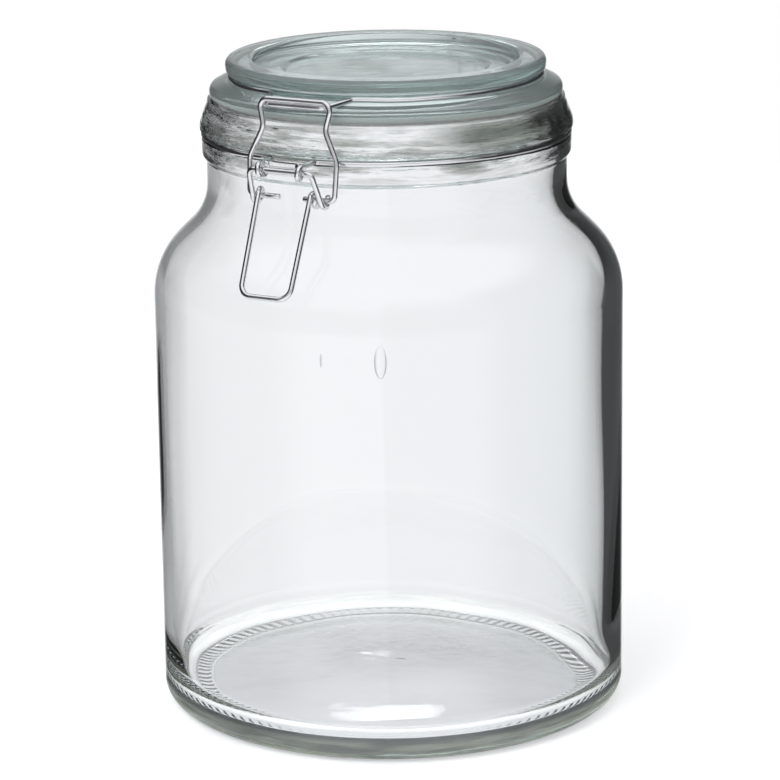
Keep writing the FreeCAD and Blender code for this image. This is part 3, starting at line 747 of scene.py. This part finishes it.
# how many surfaces a ray has gone through: none, or both walls of the jar
SURFACES_NONE, SURFACES_BOTH = 0.5, 3.5
# how much darker it is for a ray through one wall only, by degrees and by its upward part
ONE_WALL_DARK, ONE_WALL_LEVEL = (-4.0, 8.0, 0.0, 0.85), (-0.75, -0.45, 0.0, 1.0)
# the room's dimmer band, by the upward part of a ray's heading: from, to, brightness at each
BAND_FOOT, BAND_TOP = (-0.12, 0.02, 1.0, 0.55), (0.3, 0.6, 0.0, 1.0)
LEVEL_PALE = (-0.20, -0.12, 0.0, 0.96)
OVERHEAD, BELOW = (0.55, 0.8, 0.0, 1.0), (-0.60, -0.42, 0.9, 0.0)
# a window behind the jar: its pane and its brighter middle, both with soft sides
WINDOW_PANE, WINDOW_MIDDLE, WINDOW_TURN = (2.5, 2.75, 1.7, 0.0), (0.6, 1.9, 2.6, 0.0), 0.7
WINDOW_SILL, WINDOW_HEAD = (0.385, 0.405, 0.0, 1.0), (0.485, 0.50, 1.0, 0.0)

BEHIND = Vector((-math.sin(CAMERA_AZIMUTH), math.cos(CAMERA_AZIMUTH), 0))
RIGHT = Vector((math.cos(CAMERA_AZIMUTH), math.sin(CAMERA_AZIMUTH), 0))
UP = Vector((0, 0, 1))
LAMP_WAY, LAMP_DISTANCE = -BEHIND * 0.9 - RIGHT * 0.5 + UP * 0.9, 1.3
LAMP_SIZE, LAMP_POWER, LAMP_AIM = (0.55, 0.55), 6.0, Vector((0, 0, 0.1))


def add_camera():
    """A long lens, looking a little down, tipped by a small roll."""
    data = bpy.data.cameras.new("camera")
    data.lens, data.sensor_width = CAMERA_LENS, 36.0
    data.clip_start, data.clip_end = 0.05, 20.0
    camera = bpy.data.objects.new("camera", data)
    bpy.context.scene.collection.objects.link(camera)
    look = BEHIND * math.cos(CAMERA_PITCH) - UP * math.sin(CAMERA_PITCH)
    rise = RIGHT.cross(look)
    across = RIGHT * math.cos(CAMERA_ROLL) + rise * math.sin(CAMERA_ROLL)
    rise = rise * math.cos(CAMERA_ROLL) - RIGHT * math.sin(CAMERA_ROLL)
    turn = Matrix((across, rise, -look)).transposed().to_4x4()
    camera.matrix_world = Matrix.Translation(-BEHIND * CAMERA_DISTANCE + UP * CAMERA_HEIGHT) @ turn
    bpy.context.scene.camera = camera


def glass_or_steel(nodes, links):
    """1 for a ray that comes through glass or off steel, and the Light Path node it reads."""
    seen = nodes.new("ShaderNodeLightPath")
    glossy, transmitted = seen.outputs["Is Glossy Ray"], seen.outputs["Is Transmission Ray"]
    return joined(nodes, links, "MAXIMUM", glossy, transmitted), seen


def add_floor():
    """A pale table top, white to the camera, with the jar's shadow. Glass and steel show the
    studio's surround in its place."""
    corners = np.array([(-1, -1), (1, -1), (1, 1), (-1, 1)]) * FLOOR_HALF
    mesh = bpy.data.meshes.new("floor")
    mesh.from_pydata([(x, y, -FLOOR_DROP) for x, y in corners], [], [(0, 1, 2, 3)])
    floor = bpy.data.objects.new("floor", mesh)
    bpy.context.scene.collection.objects.link(floor)
    material, nodes, links, principled = shader(
        "floor_white", Base_Color=(0.93, 0.93, 0.93, 1), Roughness=0.9)
    glassy, seen = glass_or_steel(nodes, links)
    spot = nodes.new("ShaderNodeVectorMath")
    spot.operation = "LENGTH"
    links.new(nodes.new("ShaderNodeTexCoord").outputs["Object"], spot.inputs[0])
    beyond = fitted(nodes, links, spot.outputs["Value"], 0.0, 1.0, *FLOOR_SEEN)
    glassy = joined(nodes, links, "MULTIPLY", glassy, beyond)
    lift = nodes.new("ShaderNodeEmission")
    lift.inputs["Color"].default_value = (0.95, 0.95, 1, 1)
    to_camera = joined(nodes, links, "MULTIPLY", seen.outputs["Is Camera Ray"], FLOOR_LIFT)
    to_glass = joined(nodes, links, "MULTIPLY", seen.outputs["Is Transmission Ray"], FLOOR_GLOW)
    links.new(joined(nodes, links, "MAXIMUM", to_camera, to_glass), lift.inputs["Strength"])
    lit, chosen = nodes.new("ShaderNodeAddShader"), nodes.new("ShaderNodeMixShader")
    links.new(principled.outputs["BSDF"], lit.inputs[0])
    links.new(lift.outputs["Emission"], lit.inputs[1])
    links.new(glassy, chosen.inputs["Fac"])
    links.new(lit.outputs["Shader"], chosen.inputs[1])
    links.new(nodes.new("ShaderNodeBsdfTransparent").outputs["BSDF"], chosen.inputs[2])
    links.new(chosen.outputs["Shader"], nodes["Material Output"].inputs["Surface"])
    mesh.materials.append(material)


def add_lamp(name, way, distance, size, power):
    """A soft lamp at a distance along a direction, facing the jar's middle."""
    data = bpy.data.lights.new(name, "AREA")
    data.shape, data.size, data.size_y, data.energy = "RECTANGLE", size[0], size[1], power
    lamp = bpy.data.objects.new(name, data)
    bpy.context.scene.collection.objects.link(lamp)
    lamp.location = LAMP_AIM + way.normalized() * distance
    lamp.rotation_mode = "QUATERNION"
    lamp.rotation_quaternion = way.to_track_quat("Z", "Y")
    lamp.visible_glossy = False
    lamp.visible_transmission = False


def add_world():
    """White to the camera. To glass and steel: a white surround that darkens to both sides of
    what is straight behind the jar, and dark where a ray passed through one wall only.

    along(axis) is the dot product of a ray's heading with an axis, and turn is
    atan2(along right, along behind) in degrees.
    """
    world = bpy.data.worlds.new("studio")
    bpy.context.scene.world = world
    world.use_nodes = True
    nodes, links = world.node_tree.nodes, world.node_tree.links
    nodes.clear()
    heading = nodes.new("ShaderNodeTexCoord").outputs["Generated"]

    def along(axis):
        """How far a ray's heading points along an axis, from -1 to 1."""
        dot = nodes.new("ShaderNodeVectorMath")
        dot.operation = "DOT_PRODUCT"
        dot.inputs[1].default_value = axis
        links.new(heading, dot.inputs[0])
        return dot.outputs["Value"]

    def ramp(value, start, end, low, high):
        """A smooth step of value, from low at start to high at end."""
        fit = nodes.new("ShaderNodeMapRange")
        fit.interpolation_type = "SMOOTHSTEP"
        for socket, number in (("From Min", start), ("From Max", end), ("To Min", low), ("To Max", high)):
            fit.inputs[socket].default_value = number
        links.new(value, fit.inputs["Value"])
        return fit.outputs["Result"]

    def math_node(operation, first, second=None):
        return joined(nodes, links, operation, first, second)

    turn = math_node("ARCTAN2", along(RIGHT), along(BEHIND))
    turn = math_node("MULTIPLY", turn, 180 / math.pi)
    right = math_node("MAXIMUM", ramp(turn, *RIGHT_DARK), ramp(turn, *RIGHT_END))
    left = math_node("MAXIMUM", ramp(turn, *LEFT_DARK), ramp(turn, *LEFT_END))
    through = math_node("MINIMUM", right, left)

    glassy, seen = glass_or_steel(nodes, links)
    walls = seen.outputs["Transmission Depth"]
    one_wall = math_node("LESS_THAN", walls, SURFACES_BOTH)
    one_wall = math_node("MULTIPLY", math_node("GREATER_THAN", walls, SURFACES_NONE), one_wall)
    level_way = ramp(along(UP), *ONE_WALL_LEVEL)
    darken = math_node("MULTIPLY", math_node("MULTIPLY", one_wall, level_way), ramp(turn, *ONE_WALL_DARK))
    # a level look through the whole jar meets a pale surround everywhere
    both_walls = math_node("GREATER_THAN", walls, SURFACES_BOTH)
    far = math_node("MULTIPLY", both_walls, ramp(along(UP), *LEVEL_PALE))
    through = math_node("MULTIPLY", through, math_node("SUBTRACT", 1.0, darken))
    through = math_node("MAXIMUM", through, far)
    # what the outside of steel and glass mirrors: dark sides, pale front and back
    away = math_node("ABSOLUTE", turn)
    mirror = math_node("MAXIMUM", ramp(away, *MIRROR_DARK), ramp(away, *MIRROR_END))
    direct = math_node("LESS_THAN", walls, SURFACES_NONE)
    level = math_node("ADD", math_node("MULTIPLY", mirror, direct),
                      math_node("MULTIPLY", through, math_node("SUBTRACT", 1.0, direct)))
    # the room beyond the table: a dimmer band just above the horizon
    band = math_node("MAXIMUM", ramp(along(UP), *BAND_FOOT), ramp(along(UP), *BAND_TOP))
    band = math_node("MAXIMUM", band, both_walls)
    level = math_node("MULTIPLY", level, band)
    level = math_node("MAXIMUM", level, ramp(along(UP), *OVERHEAD))
    level = math_node("MAXIMUM", level, ramp(along(UP), *BELOW))
    # a bright window behind, which the jar's floor and collar pick up
    aside = math_node("ABSOLUTE", math_node("SUBTRACT", turn, WINDOW_TURN))
    across = math_node("ADD", ramp(aside, *WINDOW_PANE), ramp(aside, *WINDOW_MIDDLE))
    tall = math_node("MULTIPLY", ramp(along(UP), *WINDOW_SILL), ramp(along(UP), *WINDOW_HEAD))
    level = math_node("ADD", level, math_node("MULTIPLY", across, tall))
    plain = nodes.new("ShaderNodeBackground")
    plain.inputs["Color"].default_value = (0.86, 0.86, 0.86, 1)
    studio, white = nodes.new("ShaderNodeBackground"), nodes.new("ShaderNodeBackground")
    links.new(level, studio.inputs["Strength"])
    studio.inputs["Color"].default_value = (0.97, 0.98, 1, 1)
    white.inputs["Color"].default_value = (1, 1, 1, 1)
    first, second = nodes.new("ShaderNodeMixShader"), nodes.new("ShaderNodeMixShader")
    links.new(glassy, first.inputs["Fac"])
    links.new(plain.outputs["Background"], first.inputs[1])
    links.new(studio.outputs["Background"], first.inputs[2])
    links.new(seen.outputs["Is Camera Ray"], second.inputs["Fac"])
    links.new(first.outputs["Shader"], second.inputs[1])
    links.new(white.outputs["Background"], second.inputs[2])
    output = nodes.new("ShaderNodeOutputWorld")
    links.new(second.outputs["Shader"], output.inputs["Surface"])


add_camera()
add_floor()
add_world()
add_lamp("window", LAMP_WAY, LAMP_DISTANCE, LAMP_SIZE, LAMP_POWER)
bpy.context.scene.view_settings.view_transform = "Standard"
